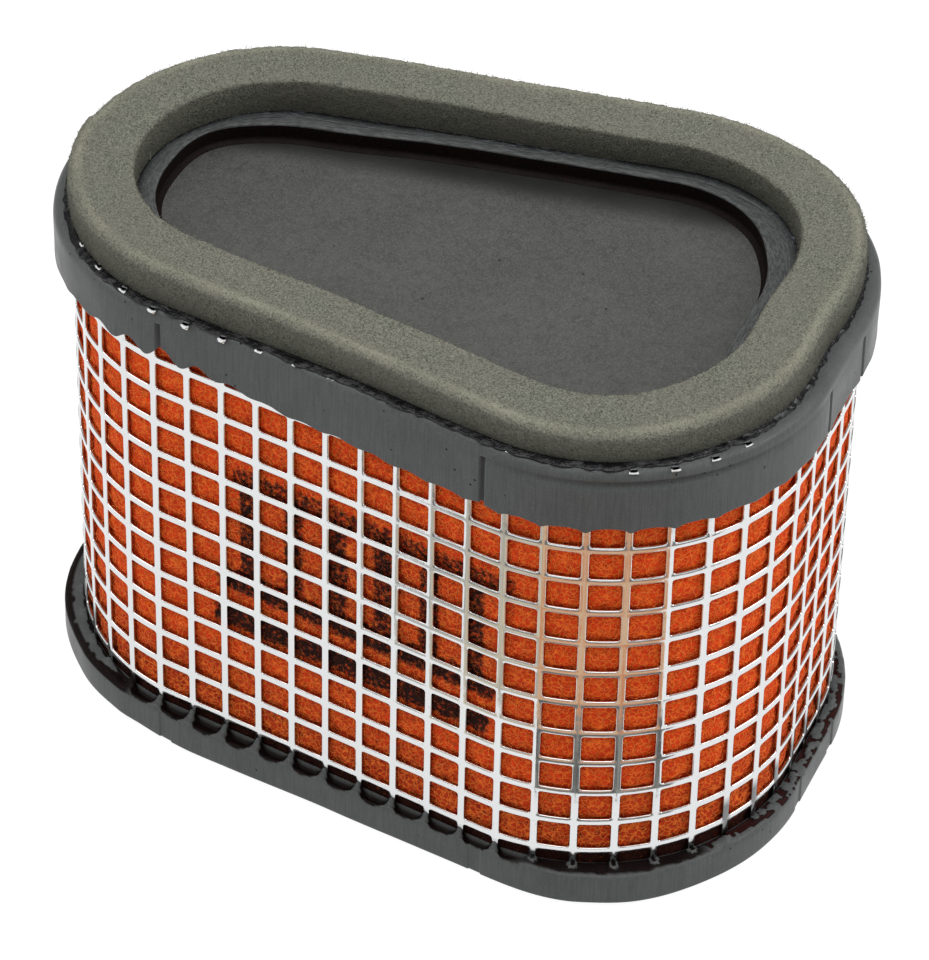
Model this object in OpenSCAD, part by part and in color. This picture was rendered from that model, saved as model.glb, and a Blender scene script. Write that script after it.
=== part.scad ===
// Motorcycle air filter element: an egg-shaped tube of oiled fibre mat between two
// perforated steel meshes, potted into moulded urethane end caps, with a foam gasket on top.
// Every outline is the same egg, grown or shrunk by an offset from the outer mesh's outer face.
// Origin: centre of the footprint, on the underside of the bottom cap. +X to the wide end.

/* [Egg outline] */
// Radius of the narrow end, at the outer mesh
narrow_r = 36; // [30:0.5:45]
// Radius of the two corners of the wide end
corner_r = 37.5; // [30:0.5:44]
// Distance from the narrow end's centre to the corner centres
centre_gap = 63; // [50:1:90]
// How far each corner centre lies from the middle line
corner_half_gap = 8; // [3:0.5:15]

/* [Heights] */
// Height of the two end caps and everything between them
element_h = 95.7; // [80:0.1:130]
// Height of the bottom cap's outer wall
bottom_cap_h = 6.5; // [5.5:0.5:12]
// Height of the top cap's outer wall
top_cap_h = 11.5; // [9:0.5:16]
// Urethane left under and over the potted ends of the tubes
pot_depth = 2.5; // [2:0.5:4]

/* [End caps] */
// How far the top cap's wall stands out from the mesh
top_overhang = 3; // [1.5:0.5:6]
// How far the bottom cap's wall stands out from the mesh
bottom_overhang = 2.6; // [1.5:0.1:6]
// Width of the urethane land inside the inner mesh
inner_land = 3.7; // [2.5:0.1:6]
// Depth of the recess from the top cap's face to the closure plate
recess_depth = 3.5; // [2:0.5:6]
// Thickness of the closure plate
plate_t = 1; // [0.8:0.1:2]
// How far the plate's edge is buried in the top cap
plate_grip = 2; // [1:0.5:2.5]

/* [Filter tube] */
// Sheet thickness of both meshes
sheet_t = 0.8; // [0.6:0.1:1.2]
// Thickness of the coarse outer mat
outer_mat_t = 5; // [3:0.5:8]
// Thickness of the fine inner mat
inner_mat_t = 5.2; // [3:0.1:8]
// Width of the glue line that joins the mats' ends
seam_w = 1.6; // [1:0.2:3]

/* [Meshes] */
// Upright bars round the outer mesh
outer_bars = 54; // [30:1:60]
// Upright bars round the inner mesh
inner_bars = 30; // [16:1:40]
// Width of a bar of the outer mesh
bar_w = 1.3; // [1:0.1:2]
// Width of a bar of the inner mesh
inner_bar_w = 1.6; // [1:0.1:2.4]
// Rise from one ring of the outer mesh to the next
ring_pitch = 6.76; // [6:0.01:9]
// Height of the middle of the outer mesh's lowest ring
first_ring_z = 9.3; // [8.5:0.1:12]

/* [Gasket] */
// Thickness of the foam gasket
foam_t = 6.3; // [4:0.1:10]
// Width of the foam strip
foam_w = 11; // [7:0.5:14]
// Thickness of the glue film under the foam
glue_t = 0.3; // [0.2:0.1:0.6]
// How far the glue squeezes out past the foam on each side
glue_bead = 0.8; // [0.4:0.1:1.2]
// Width of the glue film in the foam strip's butt joint
joint_w = 0.4; // [0.2:0.1:0.8]

/* [Hidden] */
corner_steps = 16;
narrow_steps = 26;

// Straight sides: each is tangent to the narrow circle and to one corner circle.
centre_dist = norm([centre_gap, corner_half_gap]);
side_angle = atan2(corner_half_gap, centre_gap) + acos((narrow_r - corner_r) / centre_dist);
side_len = sqrt(pow(centre_dist, 2) - pow(narrow_r - corner_r, 2));
end_x = centre_gap + corner_r;
shift_x = (narrow_r - end_x) / 2;

// Offsets of the faces of the tubes, counted inwards from the outer mesh.
outer_mat_o = -sheet_t;
inner_mat_o = outer_mat_o - outer_mat_t;
inner_mesh_o = inner_mat_o - inner_mat_t;
core_o = inner_mesh_o - sheet_t;
outlet_o = core_o - inner_land;

tube_z0 = pot_depth;
tube_z1 = element_h - pot_depth;
plate_top_z = element_h - recess_depth;
plate_bottom_z = plate_top_z - plate_t;
top_wall_z = element_h - top_cap_h;
foam_z = element_h + glue_t;
foam_outer_o = -0.3;
foam_inner_o = foam_outer_o - foam_w;

// Small clearances and marks.
bead_gap = 0.2;
mark_w = 1.2;
mark_depth = 0.4;
mark_margin = 1.5;
inner_rings = 7;

rubber = "#3a3c3d";
plate_grey = "#4a4b4a";
steel = "#e4e6e6";
orange = "#c2410c";
felt = "#d06a3a";
foam_grey = "#6f7164";
glue = "#26282a";

// Unit vector at an angle.
function dir(a) = [cos(a), sin(a)];

// Points along an arc, from angle a0 to a1.
function arc(centre, r, a0, a1, steps) =
    [for (i = [0:steps]) centre + r * dir(a0 + (a1 - a0) * i / steps)];

// The egg, grown by o: two corner arcs and the narrow end's arc, joined by their tangents.
// Every offset uses the same angles, so the faces of neighbouring tubes meet exactly.
module egg(o) {
    far = corner_r + o;
    translate([shift_x, 0]) polygon(concat(
        arc([centre_gap, corner_half_gap], far, 0, side_angle, corner_steps),
        arc([0, 0], narrow_r + o, side_angle, 360 - side_angle, narrow_steps),
        arc([centre_gap, -corner_half_gap], far, -side_angle, 0, corner_steps)));
}

// Solid egg slab from z0 to z1.
module slab(o, z0, z1) {
    translate([0, 0, z0]) linear_extrude(z1 - z0) egg(o);
}

// Egg-shaped tube between two offsets.
module ring(o_out, o_in, z0, z1) {
    difference() {
        slab(o_out, z0, z1);
        slab(o_in, z0 - 1, z1 + 1);
    }
}

// Length of the outline at offset o.
function girth(o) = 2 * side_len + 2 * corner_half_gap
    + 2 * side_angle * PI / 180 * (corner_r + o) + 2 * (180 - side_angle) * PI / 180 * (narrow_r + o);

// Place and outward angle at a length s round the outline, from the middle of the wide end.
function walk_half(s, o) =
    let (flat = corner_half_gap, arc = side_angle * PI / 180 * (corner_r + o),
        far = [centre_gap, corner_half_gap], turn = (s - flat) / (corner_r + o) * 180 / PI,
        past = s - flat - arc, bend = side_angle + (past - side_len) / (narrow_r + o) * 180 / PI)
    s < flat ? [end_x + o, s, 0]
    : s < flat + arc ? concat(far + (corner_r + o) * dir(turn), turn)
    : past < side_len ? concat(far + (corner_r + o) * dir(side_angle) + past * dir(side_angle + 90), side_angle)
    : concat((narrow_r + o) * dir(bend), bend);
function walk(s, o) =
    let (g = girth(o), near = s <= g / 2, p = walk_half(near ? s : g - s, o))
    near ? p : [p.x, -p.y, -p.z];

// Perforated sheet: level rings, and upright bars that run past them as prongs at both ends.
// The bars are a little thinner than the rings, so every bar enters a ring through flat faces.
module perforated_tube(o, bars, width, ring_z) {
    inset = sheet_t / 8;
    for (z = ring_z) ring(o, o - sheet_t, z - width / 2, z + width / 2);
    for (i = [0:bars - 1]) {
        p = walk(i * girth(o) / bars, o);
        translate([shift_x + p.x, p.y, tube_z0]) rotate(p.z)
            translate([inset - sheet_t, -width / 2, 0])
                cube([sheet_t - 2 * inset, width, tube_z1 - tube_z0]);
    }
}

// Radial slice across the narrow end, where the strips that are bent into tubes meet.
module joint_slice(o_out, o_in, width, z0, z1) {
    translate([shift_x - narrow_r - o_out, -width / 2, z0]) cube([o_out - o_in, width, z1 - z0]);
}

// Shallow upright grooves where the mould's parts met: one at each end of each straight side,
// and one at each end of the flat across the wide end.
module parting_marks(o, z0, z1) {
    stations = [corner_half_gap, corner_half_gap + side_angle * PI / 180 * (corner_r + o),
        corner_half_gap + side_angle * PI / 180 * (corner_r + o) + side_len];
    for (s = stations, side = [0, 1]) {
        p = walk(side == 0 ? s : girth(o) - s, o);
        translate([shift_x + p.x, p.y, z0]) rotate(p.z)
            translate([-mark_depth, -mark_w / 2, 0]) cube([2 * mark_depth, mark_w, z1 - z0]);
    }
}

// Ring-shaped pocket that the ends of the tubes are potted into.
module tube_pocket(z0, z1) {
    ring(0, core_o, z0, z1);
}

module bottom_end_cap() {
    color(rubber) difference() {
        slab(bottom_overhang, 0, bottom_cap_h);
        slab(outlet_o, -1, bottom_cap_h + 1);
        tube_pocket(tube_z0, bottom_cap_h + 1);
        parting_marks(bottom_overhang, mark_margin, bottom_cap_h + 1);
    }
}

module top_end_cap() {
    color(rubber) difference() {
        slab(top_overhang, top_wall_z, element_h);
        slab(outlet_o, top_wall_z - 1, element_h + 1);
        slab(outlet_o + plate_grip, plate_bottom_z, plate_top_z);
        tube_pocket(top_wall_z - 1, tube_z1);
        parting_marks(top_overhang, top_wall_z - 1, element_h - mark_margin);
    }
}

module closure_plate() {
    color(plate_grey) slab(outlet_o + plate_grip, plate_bottom_z, plate_top_z);
}

module outer_mesh() {
    color(steel) perforated_tube(0, outer_bars, bar_w,
        [for (z = first_ring_z; z < tube_z1 - bar_w; z = z + ring_pitch) z]);
}

module inner_mesh() {
    rise = (tube_z1 - tube_z0) / inner_rings;
    color(steel) perforated_tube(inner_mesh_o, inner_bars, inner_bar_w,
        [for (i = [0:inner_rings - 1]) tube_z0 + (i + 0.5) * rise]);
}

// One mat of the filter: a tube with a gap at the narrow end for the glue line.
module mat(o_out, o_in) {
    difference() {
        ring(o_out, o_in, tube_z0, tube_z1);
        joint_slice(o_out + 1, o_in - 1, seam_w, tube_z0 - 1, tube_z1 + 1);
    }
}

module media_outer_layer() {
    color(orange) mat(outer_mat_o, inner_mat_o);
}

module media_inner_layer() {
    color(felt) mat(inner_mat_o, inner_mesh_o);
}

// Glue line through both mats; it stops short of both meshes, whose faces curve past it.
module media_seam_bead() {
    color(glue) joint_slice(outer_mat_o - bead_gap, inner_mesh_o + bead_gap, seam_w, tube_z0, tube_z1);
}

module gasket_adhesive() {
    color(glue) ring(foam_outer_o + glue_bead, foam_inner_o - glue_bead, element_h, foam_z);
}

// The foam strip, bent round the egg and butted at the narrow end.
module foam_gasket() {
    color(foam_grey) difference() {
        ring(foam_outer_o, foam_inner_o, foam_z, foam_z + foam_t);
        joint_slice(foam_outer_o + 1, foam_inner_o - 1, joint_w, foam_z - 1, foam_z + foam_t + 1);
    }
}

// Glue film in the butt joint of the foam strip, a little smaller than the strip's section.
module foam_joint_glue() {
    color(glue) joint_slice(foam_outer_o - bead_gap, foam_inner_o + bead_gap, joint_w,
        foam_z, foam_z + foam_t - bead_gap);
}

bottom_end_cap();
outer_mesh();
media_outer_layer();
media_inner_layer();
media_seam_bead();
inner_mesh();
top_end_cap();
closure_plate();
gasket_adhesive();
foam_gasket();
foam_joint_glue();
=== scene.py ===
"""Looks of a motorcycle air filter element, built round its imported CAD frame.

Every piece follows one egg-shaped outline. A place on it is a distance s round the egg from the
middle of the wide end, an offset o outwards from the outer mesh, and a height z. These are in
millimetres, and meshes are made in metres, in the CAD's frame: +Z up, +X to the wide end.
"""
import itertools
import math

import bmesh
import bpy
import numpy as np
from mathutils import Matrix, Vector


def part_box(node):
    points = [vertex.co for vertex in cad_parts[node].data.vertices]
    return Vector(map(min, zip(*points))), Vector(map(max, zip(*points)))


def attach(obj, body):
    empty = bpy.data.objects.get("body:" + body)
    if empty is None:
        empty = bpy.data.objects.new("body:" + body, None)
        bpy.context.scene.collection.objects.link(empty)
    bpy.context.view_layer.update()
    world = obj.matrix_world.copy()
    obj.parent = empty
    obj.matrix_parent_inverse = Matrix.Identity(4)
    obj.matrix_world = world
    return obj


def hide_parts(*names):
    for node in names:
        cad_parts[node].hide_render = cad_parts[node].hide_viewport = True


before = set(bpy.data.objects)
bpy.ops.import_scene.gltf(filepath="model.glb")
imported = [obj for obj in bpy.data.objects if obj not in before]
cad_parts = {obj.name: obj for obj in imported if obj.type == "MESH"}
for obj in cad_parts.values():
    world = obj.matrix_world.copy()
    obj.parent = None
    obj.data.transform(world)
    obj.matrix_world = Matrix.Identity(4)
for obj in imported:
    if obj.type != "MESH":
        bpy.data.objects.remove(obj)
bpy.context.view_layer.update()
MM = 0.001
BODY = "root"
rng = np.random.default_rng(11)


def node_box(node):
    """Lowest and highest corner of a CAD node, in millimetres."""
    low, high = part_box(node)
    return np.array(low) / MM, np.array(high) / MM


# ---- the egg outline
NARROW_R = 36.0  # radius of the narrow end, at the outer mesh
CORNER_R = 37.5  # radius of the wide end's two corners
CENTRE_GAP = 63.0  # narrow end's centre to the corner centres
HALF_FLAT = 8.0  # half of the flat across the wide end
MESH_LOW, MESH_HIGH = node_box("outer_mesh")
SHIFT_X = MESH_LOW[0] + NARROW_R
CENTRE_DIST = math.hypot(CENTRE_GAP, HALF_FLAT)
SIDE_ANGLE = math.atan2(HALF_FLAT, CENTRE_GAP) + math.acos((NARROW_R - CORNER_R) / CENTRE_DIST)
SIDE_LEN = math.sqrt(CENTRE_DIST**2 - (NARROW_R - CORNER_R) ** 2)
CORNER_END = HALF_FLAT + SIDE_ANGLE * CORNER_R  # where a corner's arc meets a straight side
SIDE_END = CORNER_END + SIDE_LEN
GIRTH = 2 * (SIDE_END + (math.pi - SIDE_ANGLE) * NARROW_R)


def fold(s):
    """Distance from the middle of the wide end, the same on both sides of the egg."""
    s = np.mod(s, GIRTH)
    return np.minimum(s, GIRTH - s)


def outline(s):
    """Places (x, y) and outward normals (nx, ny) of the outer mesh's face at distances s."""
    s = np.mod(np.asarray(s, float), GIRTH)
    w = np.minimum(s, GIRTH - s)
    turn = np.clip((w - HALF_FLAT) / CORNER_R, 0, SIDE_ANGLE)
    turn = turn + np.clip((w - SIDE_END) / NARROW_R, 0, math.pi - SIDE_ANGLE)
    nx, ny = np.cos(turn), np.sin(turn)
    along = np.clip(w - CORNER_END, 0, SIDE_LEN)
    round_corner, on_flat = w <= SIDE_END, w < HALF_FLAT
    x = np.where(round_corner, CENTRE_GAP + CORNER_R * nx - along * ny, NARROW_R * nx)
    y = np.where(round_corner, HALF_FLAT + CORNER_R * ny + along * nx, NARROW_R * ny)
    y = np.where(on_flat, w, y)
    side = np.where(s > GIRTH / 2, -1.0, 1.0)
    return x + SHIFT_X, y * side, nx, ny * side


def place(s, o, z):
    """Points in millimetres, from arrays that broadcast together."""
    s, o, z = np.broadcast_arrays(s, o, z)
    x, y, nx, ny = outline(s)
    return np.stack([x + o * nx, y + o * ny, z], -1)


def curve(w, *points):
    """Smooth line through (w, value) points, level at each of them."""
    at, value = np.array(points, float).T
    i = np.clip(np.searchsorted(at, w) - 1, 0, len(at) - 2)
    t = np.clip((w - at[i]) / (at[i + 1] - at[i]), 0, 1)
    return value[i] + (value[i + 1] - value[i]) * t * t * (3 - 2 * t)


def flow(w, *points):
    """Smooth line through (w, value) points, without level spots between them."""
    at, value = np.array(points, float).T
    slope = np.gradient(value, at)
    i = np.clip(np.searchsorted(at, w) - 1, 0, len(at) - 2)
    gap = at[i + 1] - at[i]
    t = np.clip((w - at[i]) / gap, 0, 1)
    start = value[i] * (1 + 2 * t) + gap * slope[i] * t
    end = value[i + 1] * (3 - 2 * t) - gap * slope[i + 1] * (1 - t)
    return start * (1 - t) ** 2 + end * t * t


def hump(d, width):
    """1 where d is 0, falling off smoothly to 0 past width."""
    return np.exp(-((d / width) ** 2))


def near(s, at, width):
    """1 at the distance at, falling off smoothly to 0 past width."""
    return hump(np.mod(s - at + GIRTH / 2, GIRTH) - GIRTH / 2, width)


LATTICE_N = 48
LATTICE = np.random.default_rng(5).random((LATTICE_N,) * 3)


def noise(points, size, seed=0):
    """Smooth noise from -1 to 1, with lumps about size millimetres across."""
    q = points / size + 17.3 * (seed + 1)
    whole = np.floor(q).astype(int)
    t = q - whole
    t = t * t * (3 - 2 * t)
    total = np.zeros(points.shape[:-1])
    for corner in itertools.product((0, 1), repeat=3):
        share = np.prod([t[..., a] if c else 1 - t[..., a] for a, c in enumerate(corner)], 0)
        i, j, k = (np.mod(whole[..., a] + c, LATTICE_N) for a, c in enumerate(corner))
        total += share * LATTICE[i, j, k]
    return 2 * total - 1


# ---- meshes
TRIANGLE = (0, 2.1, 4.2)  # angles of the three sides of a thin strand


def mesh_piece(name, points, faces, material, replaces=(), marks=None):
    """A smooth-shaded piece from points in millimetres. marks are named values at its points."""
    mesh = bpy.data.meshes.new(name)
    faces = np.asarray(faces)
    mesh.vertices.add(len(points))
    mesh.vertices.foreach_set("co", (np.asarray(points) * MM).astype(np.float32).ravel())
    mesh.loops.add(faces.size)
    mesh.loops.foreach_set("vertex_index", faces.astype(np.int32).ravel())
    mesh.polygons.add(len(faces))
    mesh.polygons.foreach_set("loop_start", np.arange(0, faces.size, faces.shape[1], dtype=np.int32))
    mesh.polygons.foreach_set("use_smooth", np.full(len(faces), True))
    mesh.update(calc_edges=True)
    for mark, values in (marks or {}).items():
        layer = mesh.attributes.new(mark, "FLOAT", "POINT")
        layer.data.foreach_set("value", np.asarray(values, np.float32).ravel())
    mesh.validate()
    piece = bpy.data.objects.new(name, mesh)
    bpy.context.scene.collection.objects.link(piece)
    mesh.materials.append(material)
    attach(piece, BODY)
    if replaces:
        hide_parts(*replaces)
    return piece


def grid_faces(rows, columns, wrap_rows=True, wrap_columns=True):
    """Quads over a grid of points, row by row."""
    i = np.arange(rows if wrap_rows else rows - 1)[:, None]
    j = np.arange(columns if wrap_columns else columns - 1)[None, :]
    i2, j2 = (i + 1) % rows, (j + 1) % columns
    quads = [i * columns + j, i2 * columns + j, i2 * columns + j2, i * columns + j2]
    return np.stack([np.broadcast_to(q, (i.size, j.size)) for q in quads], -1).reshape(-1, 4)


def weld(points, faces):
    """Joins points that lie in the same place."""
    _, first, back = np.unique(np.round(points, 4), axis=0, return_index=True, return_inverse=True)
    return points[first], first, back.reshape(-1)[faces]


def rounded(corners, arc_steps=4):
    """Closed section with rounded corners. Each is (o, z, radius, step), anticlockwise, and step is
    how finely the straight after the corner is cut."""
    points = [np.array(c[:2], float) for c in corners]
    line = []
    for k, (_, _, radius, step) in enumerate(corners):
        p = points[k]
        into, out = points[k - 1] - p, points[(k + 1) % len(points)] - p
        into, out = into / np.linalg.norm(into), out / np.linalg.norm(out)
        reach = radius / math.tan(math.acos(np.clip(into @ out, -1, 1)) / 2) if radius else 0
        start, end = p + into * reach, p + out * reach
        for t in np.linspace(0, 1, arc_steps + 1) if radius else (1,):
            line.append(((1 - t) ** 2 * start + 2 * t * (1 - t) * p + t**2 * end, 9.0))
        line[-1] = (line[-1][0], step)
    full = []
    for (a, step), (b, _) in zip(line, line[1:] + line[:1]):
        n = max(1, int(round(np.linalg.norm(b - a) / step)))
        full += [a + (b - a) * k / n for k in range(n)]
    return np.array(full).T


# ---- sizes taken from the frame
BOTTOM_HIGH = node_box("bottom_end_cap")[1]
TOP_LOW, TOP_HIGH = node_box("top_end_cap")
PLATE_LOW, PLATE_HIGH = node_box("closure_plate")
FOAM_LOW, FOAM_HIGH = node_box("foam_gasket")
GLUE_LOW, GLUE_HIGH = node_box("gasket_adhesive")
MAT_LOW, MAT_HIGH = node_box("media_outer_layer")
FELT_LOW, FELT_HIGH = node_box("media_inner_layer")
INNER_LOW, INNER_HIGH = node_box("inner_mesh")
RIM_Z = TOP_HIGH[2]
LEDGE_Z = BOTTOM_HIGH[2]
SHEET = MESH_HIGH[1] - MAT_HIGH[1]  # thickness of the perforated sheets
MAT_OUT, MAT_IN = -SHEET, FELT_HIGH[1] - MESH_HIGH[1]
INNER_MESH_O = INNER_HIGH[1] - MESH_HIGH[1]
CORE_O = INNER_MESH_O - SHEET
TOP_LIP = TOP_HIGH[1] - MESH_HIGH[1]
BOTTOM_LIP = BOTTOM_HIGH[1] - MESH_HIGH[1]
FOAM_OUT = FOAM_HIGH[1] - MESH_HIGH[1]
FOAM_IN = FOAM_OUT - 11.0  # the strip is 11 mm wide
PLATE_EDGE_O = PLATE_HIGH[1] - MESH_HIGH[1]
OUTLET_O = PLATE_EDGE_O - 2.0  # the plate is gripped 2 mm deep, and the outlet is as wide
BARS, BAR_W = 54, 1.3  # upright bars of the outer mesh
PITCH = GIRTH / BARS
RINGS, RING_W = 13, 1.3  # its level rings
RING_PITCH, FIRST_RING = 6.76, 9.3
SHEET_SEEN = 0.6  # how deep the outer sheet is drawn; its rear lies in the mat
BUTT_GAP = 0.8  # from the middle of the mats' seam to either end
MARKS = [HALF_FLAT, CORNER_END, SIDE_END]  # the mould's parting marks, on both sides of the egg
MID = GIRTH / 2


def bar_distance(s):
    """Distance from the nearest upright bar's middle."""
    return np.abs(np.mod(s + PITCH / 2, PITCH) - PITCH / 2)


# ---- materials
def plug(tree, socket, value):
    """Links or sets an input."""
    if isinstance(value, bpy.types.NodeSocket):
        tree.links.new(value, socket)
    elif hasattr(value, "__len__") and socket.type == "RGBA" and len(value) == 3:
        socket.default_value = (*value, 1)
    else:
        socket.default_value = value


def add(tree, kind, inputs, **settings):
    """A shader node with its settings and inputs; gives its first output."""
    node = tree.nodes.new("ShaderNode" + kind)
    for name, value in settings.items():
        setattr(node, name, value)
    for name, value in inputs.items():
        plug(tree, node.inputs[name], value)
    return node.outputs[0]


def where(tree, stretch=(1, 1, 1)):
    """Object coordinates in metres, squeezed along each axis by stretch."""
    at = add(tree, "TexCoord", {}).node.outputs["Object"]
    return add(tree, "VectorMath", {0: at, 1: stretch}, operation="MULTIPLY")


def lumps(tree, size, detail=2.0, stretch=(1, 1, 1), swirl=0.0, rough=0.5):
    """Noise from 0 to 1, with lumps of a size in millimetres."""
    inputs = {"Vector": where(tree, stretch), "Scale": 1 / (size * MM), "Detail": detail}
    return add(tree, "TexNoise", {**inputs, "Distortion": swirl, "Roughness": rough})


def cells(tree, size, feature="F1", warp=0.0):
    """Voronoi cells of a size in millimetres, pushed about by warp millimetres of noise."""
    at = where(tree)
    if warp:
        push = add(tree, "TexNoise", {"Vector": at, "Scale": 1 / (size * MM)}).node.outputs["Color"]
        centred = add(tree, "VectorMath", {0: push, 1: (0.5,) * 3}, operation="SUBTRACT")
        scaled = add(tree, "VectorMath", {0: centred, 1: (2 * warp * MM,) * 3}, operation="MULTIPLY")
        at = add(tree, "VectorMath", {0: at, 1: scaled}, operation="ADD")
    return add(tree, "TexVoronoi", {"Vector": at, "Scale": 1 / (size * MM)}, feature=feature)


def ramp(tree, value, *stops):
    """Maps a value through (place, result) stops. Results are numbers or colours."""
    if hasattr(stops[0][1], "__len__"):
        node = tree.nodes.new("ShaderNodeValToRGB")
        band = node.color_ramp
        while len(band.elements) < len(stops):
            band.elements.new(0.5)
        for element, (at, colour) in zip(band.elements, stops):
            element.position, element.color = at, (*colour, 1)
        plug(tree, node.inputs[0], value)
        return node.outputs[0]
    (a, low), (b, high) = stops
    inputs = {"Value": value, "From Min": a, "From Max": b, "To Min": low, "To Max": high}
    return add(tree, "MapRange", inputs, interpolation_type="SMOOTHSTEP")


def maths(tree, operation, a, b):
    """One step of arithmetic on numbers."""
    return add(tree, "Math", {0: a, 1: b}, operation=operation)


def blend(tree, share, a, b):
    """Colour a with a share of b mixed in."""
    return add(tree, "Mix", {0: share, 6: a, 7: b}, data_type="RGBA").node.outputs[2]


def coats(tree, tone, *layers):
    """Lays (share, colour) coats over a tone, one after another."""
    for share, colour in layers:
        tone = blend(tree, share, tone, colour)
    return tone


def mark(tree, name):
    """A value that a mesh holds at its points."""
    return add(tree, "Attribute", {}, attribute_name=name).node.outputs["Fac"]


def dented(tree, *layers):
    """A normal bumped by (height, depth in millimetres) layers."""
    normal = None
    for height, depth in layers:
        inputs = {"Height": height, "Distance": depth * MM, "Strength": 1.0}
        if normal:
            inputs["Normal"] = normal
        normal = add(tree, "Bump", inputs)
    return normal


def material(name, make, **fixed):
    """A Principled material. make(tree) gives the inputs that vary, and fixed the others."""
    made = bpy.data.materials.new(name)
    made.use_nodes = True
    tree = made.node_tree
    shader = tree.nodes["Principled BSDF"]
    for key, value in {**fixed, **make(tree)}.items():
        plug(tree, shader.inputs[key.replace("_", " ")], value)
    return made


def drawn_out(tree):
    """Noise drawn out along the egg, on meshes that hold their distance and offset."""
    along = maths(tree, "MULTIPLY", mark(tree, "along"), 0.12)
    at = add(tree, "CombineXYZ", {0: along, 1: mark(tree, "across")})
    return add(tree, "TexNoise", {"Vector": at, "Scale": 3.5, "Detail": 4.0, "Distortion": 0.6})


def urethane(tree):
    """Satin dark grey: upright streaks from the mould, faint mottling, small black pinholes, dark
    lines drawn out along the recess's ledge, and black where the mesh marks resin and, on the top cap,
    painted shade."""
    streaks = lumps(tree, 0.35, 3, stretch=(1, 1, 0.05))
    mottle = lumps(tree, 6, 4)
    grain = lumps(tree, 0.25, 3)
    hole = ramp(tree, cells(tree, 2.6), (0.05, 1.0), (0.1, 0.0))
    chosen = ramp(tree, lumps(tree, 9, 1), (0.42, 0.0), (0.48, 1.0))
    hole = maths(tree, "MULTIPLY", hole, chosen)
    drawn = ramp(tree, drawn_out(tree), (0.42, 0.5), (0.56, 0.0))
    wet = mark(tree, "wet")
    resin = blend(tree, ramp(tree, grain, (0.45, 0.0), (0.65, 1.0)), (0.001, 0.0008, 0.0008),
                  (0.012, 0.0035, 0.003))
    tone = coats(tree, blend(tree, mottle, (0.067, 0.07, 0.07), (0.097, 0.101, 0.1)),
                 (ramp(tree, streaks, (0.35, 0.4), (0.6, 0.0)), (0.05, 0.052, 0.052)),
                 (ramp(tree, grain, (0.5, 0.0), (0.75, 0.3)), (0.16, 0.165, 0.16)),
                 (maths(tree, "MULTIPLY", drawn, mark(tree, "ledge")), (0.012, 0.012, 0.013)),
                 (hole, (0.002, 0.002, 0.002)),
                 (ramp(tree, wet, (0.0, 0.0), (0.5, 1.0)), resin),
                 (ramp(tree, wet, (0.55, 0.0), (1.0, 0.8)), (0.026, 0.004, 0.0035)))
    rough = ramp(tree, mottle, (0.3, 0.3), (0.7, 0.42))
    rough = maths(tree, "ADD", rough, ramp(tree, wet, (0.0, 0.0), (0.5, 0.3)))
    normal = dented(tree, (streaks, 0.02), (grain, 0.02), (maths(tree, "SUBTRACT", 1.0, hole), 0.15))
    return {"Base Color": tone, "Roughness": rough, "Normal": normal}


def tinned_steel(tree):
    """Bright smooth sheet, slightly wavy, with faint rolling lines, small scuffs and dark feet."""
    wave = lumps(tree, 4, 2)
    lines = lumps(tree, 0.3, 3, stretch=(1, 1, 0.08))
    scuff = ramp(tree, lumps(tree, 1.3, 4, rough=0.7), (0.6, 0.0), (0.72, 1.0))
    tone = coats(tree, (0.715, 0.725, 0.73), (scuff, (0.615, 0.625, 0.625)),
                 (mark(tree, "wet"), (0.12, 0.12, 0.12)))
    rough = ramp(tree, wave, (0.3, 0.09), (0.7, 0.14))
    rough = maths(tree, "ADD", rough, maths(tree, "MULTIPLY", scuff, 0.1))
    return {"Base Color": tone, "Roughness": rough, "Normal": dented(tree, (wave, 0.06), (lines, 0.005))}


def oiled_fibre(tree):
    """Orange-red curly fibres over dark gaps, stained black where ink and resin have soaked in."""
    net = cells(tree, 1.1, "DISTANCE_TO_EDGE", warp=0.55)
    strand = ramp(tree, net, (0.02, 1.0), (0.16, 0.0))
    fine = ramp(tree, cells(tree, 0.5, "DISTANCE_TO_EDGE", warp=0.35), (0.02, 1.0), (0.2, 0.0))
    patch = lumps(tree, 2.2, 4)
    deep = lumps(tree, 0.7, 3)
    opened = mark(tree, "open")
    pores = ramp(tree, cells(tree, 1.3, warp=0.9), (0.05, 1.0), (0.5, 0.0))
    shown = maths(tree, "ADD", 0.45, maths(tree, "MULTIPLY", opened, 0.05))
    tone = coats(tree, blend(tree, patch, (0.5, 0.0185, 0.005), (0.88, 0.065, 0.009)),
                 (ramp(tree, deep, (0.3, 0.6), (0.55, 0.0)), (0.34, 0.0115, 0.004)),
                 (maths(tree, "MULTIPLY", fine, 0.35), (0.93, 0.13, 0.016)),
                 (maths(tree, "MULTIPLY", pores, opened), (0.04, 0.003, 0.003)),
                 (mark(tree, "soiled"), (0.09, 0.008, 0.004)),
                 (maths(tree, "MULTIPLY", strand, shown), (1.0, 0.25, 0.035)),
                 (stain(tree), (0.008, 0.004, 0.0035)))
    height = maths(tree, "ADD", strand, maths(tree, "MULTIPLY", fine, 0.5))
    return {"Base Color": tone, "Roughness": ramp(tree, patch, (0.3, 0.75), (0.7, 0.9)),
            "Normal": dented(tree, (patch, 0.4), (height, 0.12))}


def stain(tree):
    """Share of black: ink with broken edges, or resin drawn up from the cap."""
    ragged = maths(tree, "MULTIPLY", maths(tree, "SUBTRACT", lumps(tree, 0.8, 4, rough=0.6), 0.5), 2.0)
    ink = ramp(tree, maths(tree, "ADD", mark(tree, "ink"), ragged), (0.2, 0.0), (0.95, 0.98))
    soak = ramp(tree, maths(tree, "ADD", mark(tree, "soak"), ragged), (0.2, 0.0), (0.8, 0.97))
    return maths(tree, "MAXIMUM", ink, soak)


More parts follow.
